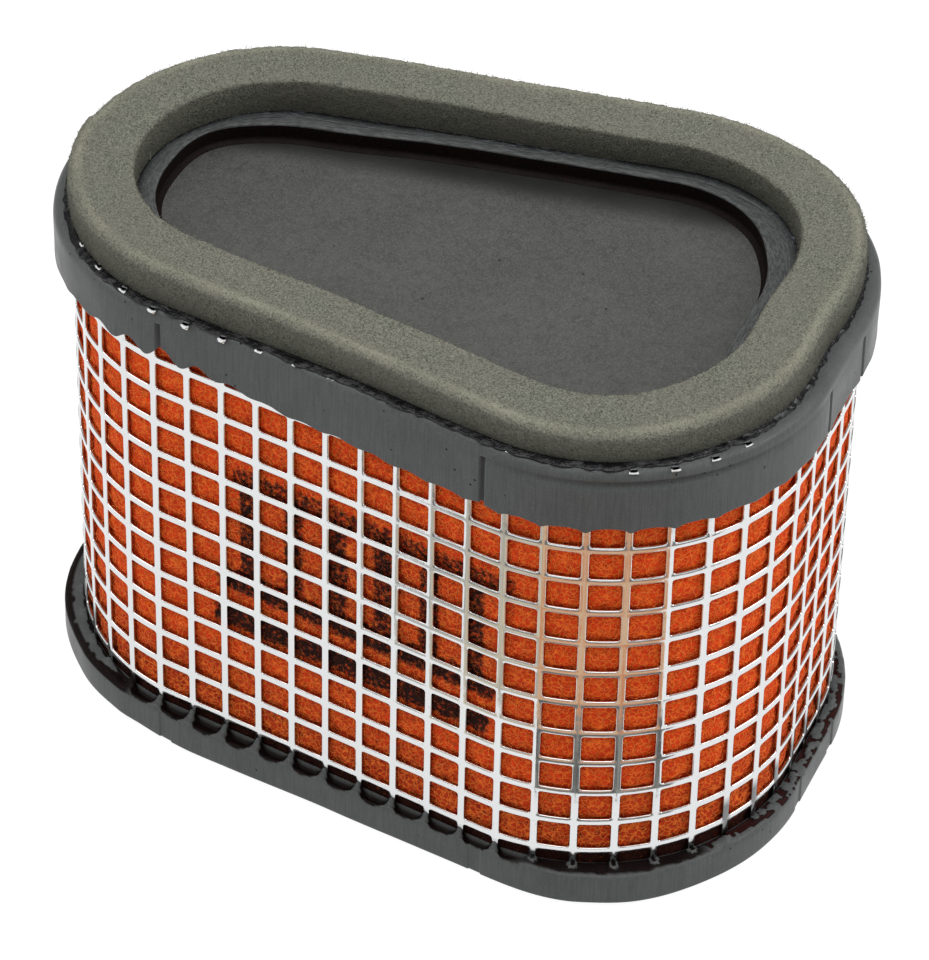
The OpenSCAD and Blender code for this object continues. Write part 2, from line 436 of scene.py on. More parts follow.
def loose_fibre(tree):
    """Single strands, a little lighter than the mat behind them."""
    patch = lumps(tree, 1.4, 3)
    tone = coats(tree, blend(tree, patch, (0.7, 0.08, 0.01), (1.0, 0.32, 0.065)),
                 (mark(tree, "soiled"), (0.2, 0.02, 0.008)),
                 (maths(tree, "MULTIPLY", stain(tree), 0.93), (0.012, 0.006, 0.005)))
    return {"Base Color": tone, "Roughness": ramp(tree, patch, (0.3, 0.5), (0.7, 0.65))}


def felt(tree):
    """Fine matte felt of the inner mat."""
    fuzz = lumps(tree, 0.35, 4, rough=0.7)
    patch = lumps(tree, 4, 3)
    tone = blend(tree, patch, (0.42, 0.07, 0.02), (0.56, 0.12, 0.035))
    tone = blend(tree, ramp(tree, fuzz, (0.35, 0.0), (0.65, 0.6)), tone, (0.7, 0.2, 0.07))
    return {"Base Color": tone, "Roughness": ramp(tree, fuzz, (0.3, 0.8), (0.7, 0.95)),
            "Normal": dented(tree, (fuzz, 0.15))}


def open_foam(tree):
    """Grey-green open-cell foam: small dark pores between lighter struts, with a painted highlight
    along the crease of its outer edge and painted shade down its sides, where the mesh marks them."""
    speck = lumps(tree, 0.32, 3, rough=0.7)
    pores = ramp(tree, cells(tree, 0.5, warp=0.2), (0.15, 1.0), (0.45, 0.0))
    cloud = lumps(tree, 9, 2)
    tone = coats(tree, (0.076, 0.078, 0.063),
                 (ramp(tree, speck, (0.32, 0.0), (0.68, 1.0)), (0.188, 0.19, 0.153)),
                 (maths(tree, "MULTIPLY", pores, 0.3), (0.05, 0.052, 0.042)),
                 (ramp(tree, cloud, (0.35, 0.0), (0.65, 0.3)), (0.145, 0.136, 0.116)),
                 (maths(tree, "MULTIPLY", mark(tree, "worn"), 0.5), (0.3, 0.295, 0.22)),
                 (mark(tree, "deep"), (0.03, 0.028, 0.024)))
    return {"Base Color": tone, "Roughness": ramp(tree, speck, (0.3, 0.85), (0.7, 1.0)),
            "Normal": dented(tree, (speck, 0.2), (pores, -0.1))}


def dried_glue(tree):
    """Glossy black where it has run out past the foam, with painted glints (pale bluish streaks that
    stand in for highlights) where the mesh marks them, and greyer where the film is thin."""
    run = lumps(tree, 1.2, 4, swirl=1.5)
    drawn = drawn_out(tree)
    streak = ramp(tree, drawn, (0.54, 0.0), (0.68, 1.0))
    patchy = ramp(tree, lumps(tree, 9, 3), (0.48, 0.05), (0.68, 0.8))
    # Painted glints: pale bluish streaks standing in for highlights on the glossy black.
    painted_glint = maths(tree, "MULTIPLY", maths(tree, "MULTIPLY", streak, patchy), mark(tree, "painted_glint"))
    tone = coats(tree, (0.004, 0.004, 0.005), (painted_glint, (0.17, 0.2, 0.24)),
                 (maths(tree, "MULTIPLY", mark(tree, "thin"), 0.8), (0.05, 0.053, 0.053)))
    return {"Base Color": tone, "Roughness": ramp(tree, run, (0.3, 0.12), (0.7, 0.3)),
            "Normal": dented(tree, (run, 0.1), (drawn, 0.06))}


def joint_glue(tree):
    """Dull cement in the foam's butt joint, close to the foam's own tone."""
    speck = lumps(tree, 0.4, 3)
    return {"Base Color": blend(tree, speck, (0.1, 0.102, 0.083), (0.18, 0.18, 0.147)),
            "Roughness": ramp(tree, speck, (0.3, 0.6), (0.7, 0.9))}


def plate_paint(tree):
    """Satin dark grey, faintly clouded, with fine grit, a few specks and a painted shadow at the back."""
    cloud = lumps(tree, 16, 4)
    mottle = lumps(tree, 1.6, 4, rough=0.65)
    grit = lumps(tree, 0.3, 3, rough=0.7)
    speck = ramp(tree, cells(tree, 7.0), (0.03, 1.0), (0.05, 0.0))
    # A painted shadow of the back step lies along its back edge, the straight side whose middle is here.
    x, y, nx, ny = (float(v) for v in outline((CORNER_END + SIDE_END) / 2))
    out = add(tree, "VectorMath", {0: where(tree), 1: (nx / MM, ny / MM, 0)}, operation="DOT_PRODUCT")
    out = out.node.outputs["Value"]
    edge = x * nx + y * ny + PLATE_EDGE_O
    uneven = maths(tree, "ADD", out, maths(tree, "MULTIPLY", mottle, 1.5))
    painted_shadow = ramp(tree, uneven, (edge - 8, 0.0), (edge - 2, 0.92))
    tone = coats(tree, blend(tree, cloud, (0.034, 0.035, 0.031), (0.047, 0.048, 0.043)),
                 (ramp(tree, mottle, (0.35, 0.7), (0.6, 0.0)), (0.024, 0.025, 0.022)),
                 (ramp(tree, grit, (0.42, 0.0), (0.66, 0.75)), (0.082, 0.082, 0.075)),
                 (speck, (0.003, 0.003, 0.002)), (painted_shadow, (0.006, 0.006, 0.005)))
    return {"Base Color": tone, "Roughness": ramp(tree, cloud, (0.3, 0.36), (0.7, 0.46)),
            "Normal": dented(tree, (grit, 0.02), (cloud, 0.2))}


cap_rubber = material("cap_urethane", urethane, Specular_IOR_Level=0.1)
steel = material("tinned_steel", tinned_steel, Metallic=1.0)
fibre_mat = material("oiled_fibre_mat", oiled_fibre, Specular_IOR_Level=0.08)
strand_skin = material("loose_fibres", loose_fibre, Specular_IOR_Level=0.2)
felt_mat = material("inner_felt", felt, Specular_IOR_Level=0.1)
foam = material("open_cell_foam", open_foam, Specular_IOR_Level=0.1)
glue = material("dried_glue", dried_glue, Specular_IOR_Level=0.3)
cement = material("joint_cement", joint_glue, Specular_IOR_Level=0.1)
paint = material("plate_paint", plate_paint)


# ---- perforated sheets
def bar_drift(s):
    """How far the outer mesh's bars stray along the egg."""
    return 0.5 * near(s, GIRTH - 24, 22)


def ring_drift(s, z):
    """How far the outer mesh's rings wander up or down."""
    return 0.9 * np.clip(1 - z / 60, 0, 1) * near(s, GIRTH - 26, 24) - 0.15 * near(s, GIRTH * 0.7, 40)


def window_cell(width, height, bar, ring, corner):
    """Points round one window's edge, their outward directions, and the points across from them
    on the border of its cell."""
    cell, hole = np.array([width, height]) / 2, np.array([width - bar, height - ring]) / 2
    middle = hole - corner
    edge, out, border = [], [], []
    for quarter, signs in enumerate([(1, 1), (-1, 1), (-1, -1), (1, -1)]):
        signs, first = np.array(signs), quarter % 2  # first: the axis this corner starts across
        for k in range(5):
            turn = math.pi / 2 * (quarter + k / 4)
            spoke = np.array([math.cos(turn), math.sin(turn)])
            past = middle.copy()
            past[first] += (cell - middle)[first] * (1, 1, 1, 0.5, 0)[k]
            past[1 - first] += (cell - middle)[1 - first] * (0, 0.5, 1, 1, 1)[k]
            edge.append(signs * middle + corner * spoke)
            out.append(spoke)
            border.append(signs * past)
        for share in (1 / 3, -1 / 3) if first == 0 else (0,):
            along = np.array([share * middle[0] * signs[0], 0])
            flat = np.array([0, signs[1]]) if first == 0 else np.array([signs[0], 0])
            edge.append(along + flat * hole)
            out.append(flat.astype(float))
            border.append(along + flat * cell)
    return np.array(edge), np.array(out), np.array(border)


def perforated_tube(name, o, bars, cell, ring_z, sheet, replaced, tips=None):
    """A sheet with rounded windows and rolled edges, bent into the egg. cell is the widths of a bar
    and a ring, the radius of a window's corners and the depth of its rolled edge. Only the outer
    sheet has tips and strays from its even grid."""
    bar, ring, corner, roll = cell
    pitch, rise = GIRTH / bars, ring_z[1] - ring_z[0]
    edge, out, border = window_cell(pitch, rise, bar, ring, corner)
    sections = [(border, 0), (edge + roll * out, 0), (edge + 0.3 * roll * out, -0.25 * roll),
                (edge, -roll), (edge, -sheet), (border, -sheet)]
    points, faces, n = [], [], len(edge)
    for i, z0 in itertools.product(range(bars), ring_z[:-1]):
        faces.append(grid_faces(len(sections), n, wrap_rows=False) + len(points) * n)
        for line, depth in sections:
            s = (i + 0.5) * pitch + line[:, 0]
            points.append(np.stack([s, np.full(n, o + depth), z0 + rise / 2 + line[:, 1]], -1))
    s, off, z = np.concatenate(points).T
    drift = 1.0 if tips else 0.0
    wet = oily_foot(s, z) * drift
    xyz = place(s + drift * bar_drift(s), off, z + drift * ring_drift(s, z))
    xyz, first, faces = weld(xyz, np.concatenate(faces))
    wet = wet[first]
    if tips:
        more, more_faces = tips(o, bar)
        faces = np.concatenate([faces, more_faces + len(xyz)])
        xyz, wet = np.concatenate([xyz, more]), np.concatenate([wet, np.zeros(len(more))])
    return mesh_piece(name, xyz, faces, steel, replaced, {"wet": wet})


def oily_foot(s, z):
    """Share of black resin on the bars' feet: it climbs higher at the two rounded ends."""
    w = fold(s)
    ends = np.clip(np.maximum((w - 152) / 6, (34 - w) / 6), 0, 1)
    top = FIRST_RING - RING_W + (RING_PITCH - 1.2) * ends
    share = np.maximum(ends, np.clip((68 - w) / 6, 0.7, 1))
    on_bar = bar_distance(s) < BAR_W * 0.55
    return 0.85 * share * np.clip((top - z) / 0.8 + 0.5, 0, 1) * (on_bar | (z < FIRST_RING - RING_W))


def tip_lean(s):
    """How far the bars' cut ends lean out."""
    return curve(np.mod(s, GIRTH), (0, 1.0), (214, 0.2), (244, 2.1), (260, 0.8), (290, 0.2), (312, 1.3),
                 (332, 2.6), (352, 1.4), (GIRTH, 1.0))


def tip_slide(s):
    """How far the bars' cut ends lean sideways."""
    return curve(np.mod(s, GIRTH), (0, 0), (200, 1.7), (266, 1.7), (312, 0.8), (355, -1.7), (GIRTH, 0))


def tip_rise(s):
    """How far the bars' cut ends stand above the top cap's rim."""
    return curve(np.mod(s, GIRTH), (0, -1.2), (211, -1.2), (214, 0.9), (226, 0.8), (240, 0.3),
                 (258, 0.2), (266, 0.04), (300, -0.02), (312, 0.15), (348, 0.15), (354, -1.2), (GIRTH, -1.2))


def bar_tips(o, bar):
    """The bent-over, cut upper ends of the bars, which show on the top cap's rim."""
    shape = np.array([(-0.5, 0.4), (0.5, 0.4), (0.5, -0.6), (-0.5, -0.6)]) * (bar * 1.15, 1.2)
    points, faces = [], []
    for i in range(BARS):
        s, start = i * PITCH, 16 * i
        lean, top = tip_lean(s), RIM_Z + tip_rise(s)
        slide = tip_slide(s) + rng.uniform(-0.2, 0.2)
        for z, share, size in ((RIM_Z - 6, 0.0, 0.6), (RIM_Z - 2, 0.4, 0.8), (top - 0.2, 1.0, 1.0),
                               (top, 1.0, 0.75)):
            ds, do = (shape * size).T
            points.append(place(s + slide * share + ds, o + do + lean * share, z))
        faces.append(grid_faces(4, 4, wrap_rows=False) + start)
        faces.append(np.array([[12, 13, 14, 15], [3, 2, 1, 0]]) + start)
    return np.concatenate(points), np.concatenate(faces)


perforated_tube("outer_mesh_sheet", 0.0, BARS, (BAR_W, RING_W, 0.5, 0.15),
                FIRST_RING + RING_PITCH * np.arange(-1, RINGS), SHEET_SEEN, ["outer_mesh"], bar_tips)
inner_rise = (INNER_HIGH[2] - INNER_LOW[2] + 1.6) / 8
perforated_tube("inner_mesh_sheet", INNER_MESH_O, 30, (1.6, 1.6, 0.5, 0.2),
                INNER_LOW[2] - 0.8 + inner_rise * np.arange(9), SHEET, ["inner_mesh"])


# ---- mats
PRINT_START, PRINT_LOW = 250.0, 29.0  # the printed hatch's lower left corner, along the egg and up


def printing(s, z):
    """Plain printed hatch on the front: three ruled bands with a row of upright strokes."""
    along, up = s - PRINT_START, z - PRINT_LOW
    inside = np.clip((along + 4 - 0.12 * up) / 1.5, 0, 1) * np.clip((53 + 0.14 * up - along) / 1.5, 0, 1)
    band = np.maximum.reduce([np.clip((width - np.abs(up - at)) / 2 + 0.5, 0, 1) * share
                              for at, width, share in ((4.0, 2.6, 0.95), (12.5, 2.6, 0.9), (36.0, 2.4, 0.7))])
    strokes = np.clip((2.2 - np.abs(np.mod(along, 9.0) - 4.5)) / 1.6 + 0.3, 0, 0.8) * (up > 12) * (up < 36)
    return inside * np.maximum(np.maximum(band, strokes), 0.2)


def soaked(s, z):
    """Black resin drawn up into the mat from the bottom cap."""
    edge = FIRST_RING - 0.2 + 0.5 * noise(place(s, 0, z), 2.5, 4)
    return np.clip((edge - z) / 1.2 + 0.5, 0, 1)


def fibre_marks(s, z):
    """Marks of the fibres: printing, soaked-up resin, and how open their texture is."""
    printed = near(s, 276, 34) * hump(z - 46, 24)
    opened = np.maximum(0.75 * np.clip((20 - z) / 7, 0, 1), 0.4 * printed)
    soiled = np.maximum(0.42 * np.clip((30 - z) / 16, 0, 1), 0.38 * printed)
    return {"ink": printing(s, z), "soak": soaked(s, z), "open": opened, "soiled": soiled}


def outer_mat_shape(s, z):
    """How far the outer mat stands out from the mesh's rear face: it swells through the windows."""
    p = place(s, 0, z)
    across = np.cos(math.pi * (np.mod(s - bar_drift(s), PITCH) / PITCH - 0.5))
    up = np.cos(math.pi * (np.mod(z - FIRST_RING, RING_PITCH) / RING_PITCH - 0.5))
    swell = np.clip(across * up, 0, 1) ** 0.7
    buried = (z < LEDGE_Z - 1.5) | (z > RIM_Z - 3)
    return np.where(buried, -0.2, 0.3 * swell + 0.28 * noise(p, 1.6, 1) + 0.16 * noise(p, 0.9, 2) - 0.16)


def tube_piece(name, section, gap, step, shape, skin, replaced, finish):
    """A tube with a butt joint at the narrow end, whose ends lie a gap from its middle. Its section
    is (o, z) lines, repeated every step. shape(s, o, z) moves points, finish(s, o, z) marks them."""
    s = np.linspace(MID + gap, MID + GIRTH - gap, int(GIRTH / step))
    s, o = np.meshgrid(s, section[0], indexing="ij")
    z = np.broadcast_to(section[1], s.shape)
    o2, z2 = shape(s, o, z)
    piece = mesh_piece(name, place(s, o2, z2).reshape(-1, 3), grid_faces(*s.shape, wrap_rows=False), skin,
                       replaced, finish(s, o, z))
    close_ends(piece, s.shape[1])
    return piece


def close_ends(piece, columns):
    """Fills the first and the last section of a tube that has a joint, with sharp edges."""
    b = bmesh.new()
    b.from_mesh(piece.data)
    b.verts.ensure_lookup_table()
    total = len(b.verts)
    ends = [b.faces.new([b.verts[i] for i in ring])
            for ring in (range(columns - 1, -1, -1), range(total - columns, total))]
    for face, edge in [(face, edge) for face in ends for edge in face.edges]:
        face.smooth = edge.smooth = False
    bmesh.ops.triangulate(b, faces=ends)
    bmesh.ops.recalc_face_normals(b, faces=b.faces)
    b.to_mesh(piece.data)
    b.free()


mat_section = rounded([(MAT_OUT, MAT_LOW[2], 0, 0.75), (MAT_OUT, MAT_HIGH[2], 0, 2.5),
                       (MAT_IN, MAT_HIGH[2], 0, 4), (MAT_IN, MAT_LOW[2], 0, 2.5)])
tube_piece("outer_fibre_mat", mat_section, BUTT_GAP, 0.75,
           lambda s, o, z: (np.where(o > MAT_OUT - 0.1, o + outer_mat_shape(s, z), o), z),
           fibre_mat, ["media_outer_layer"], lambda s, o, z: fibre_marks(s, z))
felt_out, felt_in = MAT_IN - 0.05, INNER_MESH_O + 0.05
felt_section = rounded([(felt_out, FELT_LOW[2], 0, 4), (felt_out, FELT_HIGH[2], 0, 2.5),
                        (felt_in, FELT_HIGH[2], 0, 1.0), (felt_in, FELT_LOW[2], 0, 2.5)])
tube_piece("inner_felt_mat", felt_section, BUTT_GAP, 1.2,
           lambda s, o, z: (np.where(o < MAT_IN - 1, o + 0.2 * noise(place(s, o, z), 2.5, 3) - 0.1, o), z),
           felt_mat, ["media_inner_layer"], lambda s, o, z: {})


def strands(name, count):
    """Loose curly fibres on the face of the outer mat, as thin three-sided tubes."""
    segments = 6
    t = np.linspace(-1, 1, segments + 1)[None, :]
    s0 = rng.uniform(0, GIRTH, (count, 1))
    z0 = rng.uniform(LEDGE_Z + 2.2, TOP_LOW[2] + 3, (count, 1))
    angle = rng.uniform(0, 2 * math.pi, (count, 1)) + rng.normal(0, 1.6, (count, 1)) * t
    step = rng.uniform(0.5, 1.5, (count, 1)) * 2 / segments
    s, z = s0 + np.cumsum(np.cos(angle), 1) * step, z0 + np.cumsum(np.sin(angle), 1) * step
    o = MAT_OUT + outer_mat_shape(s, z) + rng.uniform(0.08, 0.4, (count, 1)) * (1 - t**2) - 0.04
    line = place(s, np.minimum(o, -0.05), z)
    nx, ny = outline(s)[2:]
    out = np.stack([nx, ny, 0 * nx], -1)
    ahead = np.gradient(line, axis=1)
    side = np.cross(ahead, out)
    side /= np.linalg.norm(side, axis=2, keepdims=True)
    radius = rng.uniform(0.035, 0.07, (count, 1, 1)) * (1 - 0.6 * np.abs(t) ** 3)[..., None]
    rings = [line + radius * (side * math.cos(a) + out * math.sin(a)) for a in TRIANGLE]
    one = grid_faces(segments + 1, 3, wrap_rows=False)
    faces = (one[None] + np.arange(count)[:, None, None] * 3 * (segments + 1)).reshape(-1, 4)
    marks = {k: np.repeat(v[..., None], 3, -1) for k, v in fibre_marks(s, z).items()}
    mesh_piece(name, np.stack(rings, 2).reshape(-1, 3), faces, strand_skin, marks=marks)


strands("mat_surface_fibres", 5200)
strands("mat_surface_fibres_2", 5200)


# ---- end caps
def cap_stations():
    """Places round the egg for a cap's sections, closer together at the parting marks."""
    even = np.arange(BARS * 19) * GIRTH / (BARS * 19)
    marks = np.array([at for m in MARKS for at in (m, GIRTH - m)])
    close = (marks[:, None] + np.linspace(-1.6, 1.6, 23)).ravel()
    even = even[np.min(np.abs(even[:, None] - marks), 1) > 1.7]
    return np.sort(np.concatenate([even, close]))


def groove(s, half, soft=0.14):
    """1 inside the six parting marks and 0 elsewhere."""
    d = np.min([np.abs(fold(s) - at) for at in MARKS], 0)
    return np.clip((half - d) / soft + 0.5, 0, 1)


def cap_piece(name, section, shape, replaced):
    """An end cap swept round the egg. shape(s, o, z) moves its points and tells how black they
    are, with resin and, on the top cap, painted shade: 0.5 is black and 1 dark red."""
    s, o = np.meshgrid(cap_stations(), section[0], indexing="ij")
    z = np.broadcast_to(section[1], s.shape)
    ledge = np.clip((FOAM_IN - 0.3 - o) / 0.4, 0, 1) * (z > RIM_Z - 0.5)
    o, z, wet = shape(s, o, z)
    marks = {"wet": wet, "ledge": ledge, "along": s, "across": o}
    mesh_piece(name, place(s, o, z).reshape(-1, 3), grid_faces(*s.shape), cap_rubber,
               [replaced], marks)


def top_lip(s):
    """How far the top cap's wall stands out from the mesh."""
    return curve(fold(s), (0, 2.2), (30, 2.8), (55, 2.7), (85, 1.8), (125, 1.6), (150, 2.2), (170, 3.0),
                 (187.2, 3.0))


def top_low(s):
    """Height of the top cap's lower edge."""
    return curve(fold(s), (0, 84.6), (40, 83.6), (80, 83.2), (105, 84.5), (125, 85.8), (150, 86.2),
                 (187.2, 85.6))


def recess_shift(s):
    """How far the recess's edge strays outwards: it sits nearer the foam along the back."""
    return flow(np.mod(s, GIRTH), (0, -1.2), (20, -1.1), (32, -0.5), (46, 1.2), (62, 2.4), (90, 2.7),
                (116, 2.3), (134, 0.9), (150, 1.3), (168, 2.7), (184, 1.6), (206, 0.9), (260, 0), (340, 0),
                (GIRTH, -1.2))


def top_cap_shape(s, o, z):
    """Shapes the top cap's wall, lower edge and recess, and finds its black parts, partly painted shade."""
    p = place(s, o, z)
    outside, wall = o > -0.1, np.clip(o - 1, 0, 1)
    # The lower edge hangs down at each bar and arches up between them.
    arch = -0.2 * np.cos(2 * math.pi * s / PITCH) + 0.12 * noise(p, 1.4, 6)
    arch = arch + 2.1 * near(s, 238, 12) * np.sin(math.pi * s / PITCH) ** 2
    arch = arch - 0.6 * near(s, 322, 20) * hump(bar_distance(s), 0.7)
    fall = np.clip((RIM_Z - z) / (RIM_Z - TOP_LOW[2]), 0, 1) ** 3
    z = z + np.where(outside, fall * (top_low(s) - TOP_LOW[2] + arch), 0)
    z = z + np.where(z > RIM_Z - 0.3, 0.07 * noise(p, 3, 8), 0)
    recess = (o < OUTLET_O + 0.8) & (z > PLATE_LOW[2] - 1)
    pulled = np.clip((FOAM_IN + 4 - o) / (FOAM_IN + 3.2 - OUTLET_O), 0, 1) * (z > PLATE_LOW[2] - 1)
    o2 = np.where(o > 0, o * top_lip(s) / TOP_LIP, o) + pulled * recess_shift(s)
    cut = groove(s, 0.5) * np.clip((RIM_Z - 2.4 - z) / 0.4, 0, 1) * outside
    crease = 0.45 * near(s, 330, 28) * hump(z - RIM_Z + 2.5, 0.7) * wall
    uneven = wall * 0.06 * noise(p, 5, 7) + np.where(recess, 0.12 * noise(p, 8, 5), 0)
    # The recess's step wall is coloured black resin, which also paints the shade that falls there. The
    # shallow crease under the front rim is painted dark as shade, and the parting marks' cuts are darkened a
    # little.
    wet = np.where(recess & (z < RIM_Z - 0.45), 0.5, np.maximum(0.18 * cut, 0.6 * crease))
    return o2 - 0.7 * cut - crease + uneven, z, wet


top_section = rounded([
    (CORE_O, TOP_LOW[2], 0, 4), (CORE_O, RIM_Z - 2.5, 0, 4), (0, RIM_Z - 2.5, 0, 4), (0, TOP_LOW[2], 0, 1),
    (TOP_LIP, TOP_LOW[2], 0.4, 0.6), (TOP_LIP, RIM_Z, 1.7, 0.7), (OUTLET_O, RIM_Z, 0.5, 0.7),
    (OUTLET_O, PLATE_HIGH[2] + 0.22, 0, 1), (OUTLET_O - 0.8, PLATE_HIGH[2] + 0.18, 0, 1),
    (OUTLET_O - 1.0, PLATE_HIGH[2] + 0.01, 0, 1), (OUTLET_O - 1.0, PLATE_LOW[2] - 0.01, 0, 1),
    (OUTLET_O, PLATE_LOW[2] - 0.6, 0, 4), (OUTLET_O, TOP_LOW[2], 0.6, 2)])
cap_piece("top_cap_moulding", top_section, top_cap_shape, "top_end_cap")


def bottom_lip(s):
    """How far the bottom cap's wall stands out from the mesh."""
    return curve(fold(s), (0, 2.1), (30, 2.4), (46, 3.2), (54, 3.0), (72, 1.4), (100, 1.9), (130, 2.8),
                 (142, 2.0), (147, 2.4), (158, 2.9), (176, 3.9), (187.2, 3.9))


def drops(s, o):
    """Round drops of urethane on the ledge at the wide end."""
    total, draw = np.zeros(s.shape), np.random.default_rng(21)
    for _ in range(95):
        at, out, r = draw.uniform(-34, 34), draw.uniform(0.1, 2.1), draw.uniform(0.5, 1.15)
        d = np.abs(np.mod(s - at + MID, GIRTH) - MID)
        total = np.maximum(total, 0.4 * r * np.sqrt(np.clip(1 - (d / r) ** 2 - ((o - out) / r) ** 2, 0, 1)))
    return total


def bottom_cap_shape(s, o, z):
    """Shapes the bottom cap's ledge and wall, and finds its parts black with resin."""
    p, w, apart = place(s, o, z), fold(s), bar_distance(s - bar_drift(s))
    outside, reach = o > -0.3, o + LEDGE_Z - z  # reach runs out over the ledge and down the wall
    on_top = np.clip(z / LEDGE_Z, 0, 1) ** 4 * outside
    straight = np.clip((w - 60) / 8, 0, 1) * np.clip((150 - w) / 6, 0, 1)
    front, wide_end = np.clip((68 - w) / 8, 0, 1), np.clip((34 - w) / 4, 0, 1)
    narrow_end = np.clip((w - 143) / 3, 0, 1)
    # Urethane creeps up round each bar's foot, and dips between bars on the straight sides.
    foot = hump(apart, 0.75) * hump(o - 0.1, 0.55)
    meniscus = hump(np.hypot(apart, 0.8 * (o - 0.25)) - 0.62, 0.22) * front
    collar = foot * (1 - front) + 0.5 * meniscus
    scallop = np.clip(1 - ((PITCH / 2 - apart) / 2.9) ** 4, 0, 1)
    dip = -1.6 * scallop * hump(reach, 1.7) * straight
    drop = drops(s, o) * wide_end
    uneven = 0.1 * noise(p, 1.5, 9) + 0.1 * noise(p, 5, 9)
    z = z + on_top * (1.2 * collar + dip + drop - 0.35 * wide_end + uneven)
    lip = np.where(o > 0, o * bottom_lip(s) / BOTTOM_LIP, o)
    wall, rim_share = np.clip(o - 1, 0, 1), o / BOTTOM_LIP
    cut = groove(s, 1.2, 0.2) * wall
    ragged = 0.25 * noise(p, 0.9, 12) + 0.3 * noise(p, 3.5, 12)
    # Black resin fills the dips, the front's ledge, a band round the narrow end, and the gaps between
    # the drops.
    in_dip = straight * (scallop > 0.02) * np.clip((3.3 * scallop + 0.4 * ragged - reach) / 0.25, 0, 1)
    on_front = np.clip((0.8 + 0.1 * ragged - rim_share) / 0.1, 0, 1)
    # The meniscus ring round each bar's foot stays grey: a painted highlight, on top of its real bump.
    on_front = on_front * front * (1 - wide_end) * (meniscus < 0.35)
    band_from = curve(w, (143, 0.0), (148, 0.2), (154, 0.5), (162, 0.64), (187.2, 0.6))
    outer_band = narrow_end * np.maximum(np.clip((rim_share + 0.3 * ragged - band_from) / 0.06, 0, 1),
                                         np.clip((0.2 + ragged - lip) / 0.2, 0, 1))
    gaps = np.clip((0.16 - drop - 0.15 * ragged) / 0.08, 0, 1) * wide_end
    gaps = gaps * (rim_share < curve(w, (0, 0.93), (14, 0.93), (24, 0.5), (40, 0.4)))
    edge = (w > 143) & (z > LEDGE_Z - 0.9)
    top_side = (z > LEDGE_Z - 2.2) & outside & ((rim_share < 0.99) | edge)
    wet = np.maximum(0.6 * np.maximum(on_front, outer_band), gaps) * top_side
    wet = np.maximum(wet, 0.6 * in_dip * (outside & (reach > -0.3)))
    return lip - 0.22 * cut + wall * 0.06 * noise(p, 6, 10), z, wet


bottom_section = rounded([
    (CORE_O, 2.5, 0, 3), (-0.4, 2.5, 0, 1), (-0.4, LEDGE_Z, 0, 0.25), (BOTTOM_LIP, LEDGE_Z, 1.2, 0.9),
    (BOTTOM_LIP, 0, 0.5, 2), (OUTLET_O, 0, 0.6, 1.5), (OUTLET_O, LEDGE_Z, 0.6, 1), (CORE_O, LEDGE_Z, 0.3, 2)])
cap_piece("bottom_cap_moulding", bottom_section, bottom_cap_shape, "bottom_end_cap")


# ---- foam gasket and its glue
def foam_shift(s, o):
    """How far the foam strip strays outwards from its line. One end is wider at the joint."""
    s = np.mod(s, GIRTH)
    line = flow(s, (0, -1.0), (22, 0.2), (45, 1.4), (72, 1.3), (100, 1.0), (130, 0.4), (160, 0.1), (MID, 0.3),
                (210, 0.45), (234, 0.3), (274, -0.2), (300, 0.4), (318, 0.8), (341, 0.2), (GIRTH, -1.0))
    wider = np.clip((o - FOAM_IN) / (FOAM_OUT - FOAM_IN), 0, 1) * np.exp(-np.clip(s - MID, 0, None) / 14)
    return line + np.where(s > MID, 0.6 * wider, 0)


def foam_rise(s):
    """How far the foam's top wanders up or down."""
    return curve(fold(s), (0, 0.4), (25, 0.0), (55, -1.0), (90, -0.4), (130, 0.4), (187.2, 0.3))


def foam_shape(s, o, z):
    """Shapes the foam strip: wandering, bulging a little at its sides, creased along its top."""
    p = place(s, o, z)
    up = (z - FOAM_LOW[2]) / (FOAM_HIGH[2] - FOAM_LOW[2])
    fuzz = 0.07 * noise(p, 0.8, 13) + 0.06 * noise(p, 0.5, 14)
    sides = np.clip((o - (FOAM_OUT + FOAM_IN) / 2) / 4, -1, 1)
    crease = hump(o - FOAM_OUT + 1.6, 0.7) * (up > 0.95)
    o2 = o + foam_shift(s, o) + sides * (fuzz + 0.2 * np.sin(math.pi * up)) + 0.2 * noise(p, 14, 15)
    edge_fall = 0.5 * np.clip((o - FOAM_OUT + 1.4) / 1.4, 0, 1)
    return o2, z + up * (foam_rise(s) + fuzz + 0.15 * noise(p, 9, 16) + 0.12 * crease - edge_fall)


def foam_finish(s, o, z):
    """Marks the painted highlight along the foam's outer edge, and painted shade on its lower sides."""
    edge = hump(o - FOAM_OUT + 1.5, 0.8) * (z > FOAM_HIGH[2] - 1)
    up = np.clip((z - FOAM_LOW[2]) / (FOAM_HIGH[2] - FOAM_LOW[2]), 0, 1)
    return {"worn": edge * (0.6 + 0.4 * noise(place(s, 0, 0), 6, 17)),
            "deep": np.where(up < 0.93, 0.62 - 0.45 * up, 0)}


foam_section = rounded([(FOAM_OUT, FOAM_LOW[2], 0.2, 0.45), (FOAM_OUT, FOAM_HIGH[2], 0.8, 0.45),
                        (FOAM_IN, FOAM_HIGH[2], 0.6, 0.45), (FOAM_IN, FOAM_LOW[2], 0.2, 2)])
foam_strip = tube_piece("foam_gasket_strip", foam_section, 0.004, 0.55, foam_shape, foam,
                        ["foam_gasket"], foam_finish)


